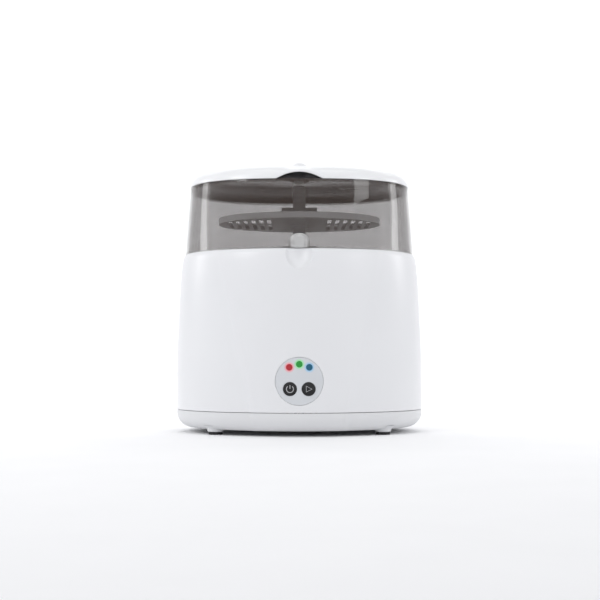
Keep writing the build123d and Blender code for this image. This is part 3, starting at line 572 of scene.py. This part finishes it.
def build_tab():
    """The clear thumb tab: a rounded arch that bulges forward in the middle and thins at its edge."""
    low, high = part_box("lift_tab")
    half, tall = (high.x - low.x) / 2, high.z - low.z
    across, up = 48, 40
    depth = high.y - low.y
    points, faces = [], []
    for layer in (0, 1):
        for row in range(up + 1):
            v = row / up
            for column in range(across + 1):
                u = 2 * column / across - 1
                width = half * min(1.0, math.sqrt(max(0.0, 1 - max(0.0, (v - 0.25) / 0.75) ** 2.2)) + 0.02)
                crown = (1 - u * u) * (1 - v**3) ** 0.5
                if layer == 0:
                    crown *= 0.62 + 0.38 * smooth_step((0.78 - math.hypot(u * 0.95, (v - 0.42) * 1.5)) / 0.35)
                stand = depth * (0.25 + 0.75 * crown) if layer == 0 else 0.15 * depth * crown
                points.append((u * width, high.y - stand, low.z + v * tall))
    stride, size = across + 1, (across + 1) * (up + 1)
    for row in range(up):
        for column in range(across):
            a = row * stride + column
            faces.append((a, a + 1, a + 1 + stride, a + stride))
            faces.append((size + a, size + a + stride, size + a + 1 + stride, size + a + 1))
    rim = list(range(stride)) + [row * stride + across for row in range(1, up + 1)]
    rim += [up * stride + column for column in range(across - 1, -1, -1)]
    rim += [row * stride for row in range(up - 1, 0, -1)]
    for a, b in zip(rim, rim[1:] + rim[:1]):
        faces.append((b, a, size + a, size + b))
    tab = add_mesh("thumb_tab", points, faces, "lid", "clear_tab")
    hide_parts("lift_tab")


build_tab()


# ---- base pan ------------------------------------------------------------------------------------
pan_wall = 2.6 * MM
pan_under, pan_top = 5.8 * MM, 26.9 * MM
centre_hole = 0.02 * MM
pad_radius = 8.2 * MM
boss_profile = [(0.01, 3.4), (8.4, 3.4), (9.2, 3.8), (9.6, 4.8)]
boss_profile += [(9.9, 6.6), (11.5, 8.6), (14.5, 10.6), (0.01, 10.6)]  # radius and height, in mm


def build_base_pan():
    """The base pan: an outer band with a rolled lower edge, and a floor drawn in under it."""
    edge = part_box("base_pan")[1].x
    side = [(centre_hole, pan_under), (edge - 40 * MM, pan_under), (edge - 18 * MM, 6.0 * MM)]
    rolled = [(14.6, 6.2), (5.0, 11.5), (0.5, 25.6)]  # inset and height, in mm, of three places on the roll
    side += arc_points(*[(edge - inset * MM, z * MM) for inset, z in rolled], 16)
    side += [(edge - 0.3 * MM, 26.4 * MM), (edge - 0.8 * MM, pan_top)]
    inner = edge - pan_wall
    inside = [(inner - 0.4 * MM, pan_top), (inner - 2.4 * MM, 18 * MM), (inner - 8 * MM, 11 * MM)]
    inside += [(edge - 20 * MM, 8.6 * MM), (edge - 40 * MM, 8.4 * MM), (centre_hole, 8.4 * MM)]

    def draw_in_beside_apron(point):
        if point.y < 0:
            shift = apron_inset(point.x, seam_z) * 0.9
            length = math.hypot(point.x, point.y)
            point.x -= point.x / length * shift
            point.y -= point.y / length * shift
        return point

    band = revolve("base_band", side + inside, "housing", "white_base", draw_in_beside_apron)
    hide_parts("base_pan")


def build_foot_bosses():
    """The flared boss over each foot pad."""
    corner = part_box("foot_pads")[1]
    turns = 64
    angles = [2 * math.pi * step / turns for step in range(turns)]
    last = (len(boss_profile) - 1) * turns
    for number, (side_x, side_y) in enumerate([(-1, -1), (1, -1), (-1, 1), (1, 1)]):
        centre = Vector((side_x * (corner.x - pad_radius), side_y * (corner.y - pad_radius), 0))
        points = []
        for radius, z in boss_profile:
            points += [centre + Vector((radius * math.cos(a), radius * math.sin(a), z)) * MM for a in angles]
        faces = ring_faces(len(boss_profile), turns, closed=False)
        faces += [tuple(reversed(range(turns))), tuple(range(last, last + turns))]
        add_mesh(f"foot_boss_{number}", points, faces, "housing", "white_base")


build_base_pan()
build_foot_bosses()


# ---- keys and their symbols ----------------------------------------------------------------------
stroke_radius = 0.48 * MM
key_dish = 0.62 * MM  # how far the symbols sit behind the key's front
key_profile = [(0.01, 0.75), (3.0, 0.68), (5.2, 0.45), (6.6, 0.15), (7.1, 0.10), (7.45, 0.35)]
key_profile += [(7.6, 0.9), (7.6, 6.0), (8.6, 6.0), (8.6, 7.6), (0.01, 7.6)]  # radius and depth, in mm


def symbol(name, strokes, body):
    """Raised strokes on a key, as round lines."""
    curve = bpy.data.curves.new(name, "CURVE")
    curve.dimensions = "3D"
    curve.bevel_depth = stroke_radius
    curve.bevel_resolution = 3
    for stroke, closed in strokes:
        spline = curve.splines.new("POLY")
        spline.points.add(len(stroke) - 1)
        for point, place in zip(spline.points, stroke):
            point.co = (*place, 1)
        spline.use_cyclic_u = closed
    piece = bpy.data.objects.new(name, curve)
    bpy.context.scene.collection.objects.link(piece)
    curve.materials.append(key_print)
    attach(piece, body)


def key_centre(node):
    low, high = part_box(node)
    return Vector(((low.x + high.x) / 2, low.y + key_dish, (low.z + high.z) / 2))


def build_key(node):
    """A round key with a rolled edge and a shallow dish for the fingertip."""
    centre, front = key_centre(node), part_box(node)[0].y
    turns = 96
    angles = [2 * math.pi * step / turns for step in range(turns)]
    points = []
    for radius, depth in key_profile:
        for angle in angles:
            across, up = radius * MM * math.cos(angle), radius * MM * math.sin(angle)
            points.append((centre.x + across, front + depth * MM, centre.z + up))
    last = (len(key_profile) - 1) * turns
    faces = [(a, d, c, b) for a, b, c, d in ring_faces(len(key_profile), turns, closed=False)]
    faces += [tuple(range(turns)), tuple(reversed(range(last, last + turns)))]
    key = add_mesh(f"{node}_key", points, faces, node, "black_key")
    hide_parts(node)


build_key("power_button")
build_key("start_button")
power = key_centre("power_button")
gap_half = math.radians(38)
arc_angles = [math.pi / 2 + gap_half + (2 * math.pi - 2 * gap_half) * k / 40 for k in range(41)]
power_radius = 3.9 * MM
power_arc = [power + Vector((power_radius * math.cos(a), 0, power_radius * math.sin(a))) for a in arc_angles]
power_bar = [power + Vector((0, 0, 0.4 * MM)), power + Vector((0, 0, 4.4 * MM))]
symbol("power_symbol", [(power_arc, False), (power_bar, False)], "power_button")

play = key_centre("start_button")
play_corners = [Vector((-2.6, 0, 3.3)) * MM, Vector((3.8, 0, 0)) * MM, Vector((-2.6, 0, -3.3)) * MM]
symbol("play_symbol", [([play + corner for corner in play_corners], True)], "start_button")


# ---- floor, light and camera ---------------------------------------------------------------------
def build_stage():
    """A pale floor that curves up into a backdrop."""
    half, back, height, bend = 3.0, 1.6, 2.6, 0.6
    turns = [math.pi / 2 * step / 12 for step in range(13)]
    profile = [(-half, 0.0)]
    profile += [(back - bend + bend * math.sin(turn), bend - bend * math.cos(turn)) for turn in turns]
    profile.append((back, height))
    points = [(x, y, z) for y, z in profile for x in (-half, half)]
    faces = [(2 * k, 2 * k + 1, 2 * k + 3, 2 * k + 2) for k in range(len(profile) - 1)]
    mesh = bpy.data.meshes.new("backdrop")
    mesh.from_pydata(points, [], faces)
    mesh.materials.append(moulded("backdrop_paper", (0.93, 0.93, 0.94), 0.9))
    mesh.polygons.foreach_set("use_smooth", [True] * len(mesh.polygons))
    backdrop = bpy.data.objects.new("backdrop", mesh)
    bpy.context.scene.collection.objects.link(backdrop)


def soft_box(name, place, target, size, power):
    """An area light aimed at a point."""
    light = bpy.data.lights.new(name, "AREA")
    light.shape = "RECTANGLE"
    light.size, light.size_y = size
    light.energy = power
    lamp = bpy.data.objects.new(name, light)
    lamp.location = place
    lamp.rotation_euler = (Vector(target) - Vector(place)).to_track_quat("-Z", "Y").to_euler()
    bpy.context.scene.collection.objects.link(lamp)


build_stage()
soft_box("left_strip", (-1.15, 0.12, 0.52), (0, 0, 0.22), (0.28, 0.5), 2.2)
soft_box("right_strip", (1.15, 0.12, 0.52), (0, 0, 0.22), (0.28, 0.5), 2.2)
soft_box("left_front", (-1.0, -1.2, 1.0), (0, 0, 0.12), (0.5, 0.5), 5.4)
soft_box("right_front", (1.1, -1.2, 0.8), (0, 0, 0.12), (0.5, 0.5), 2.8)
soft_box("top_box", (0, -0.6, 1.6), (0, 0.0, 0.15), (1.2, 0.8), 4.6)
soft_box("backdrop_box", (0, 0.75, 1.5), (0, 1.6, 0.4), (2.6, 0.7), 18)

world = bpy.data.worlds.new("studio")
world.use_nodes = True
world.node_tree.nodes["Background"].inputs["Color"].default_value = (0.97, 0.98, 1.0, 1)
world.node_tree.nodes["Background"].inputs["Strength"].default_value = 0.53
bpy.context.scene.world = world
bpy.context.scene.view_settings.view_transform = "Standard"

camera = bpy.data.cameras.new("camera")
camera.lens = 70.26
camera.sensor_width = 36
camera.shift_x = 0.0012
camera.shift_y = 0.0933
eye = bpy.data.objects.new("camera", camera)
eye.location = (0, -1.430, 0.091)
eye.rotation_euler = (math.pi / 2, 0, 0)
bpy.context.scene.collection.objects.link(eye)
bpy.context.scene.camera = eye
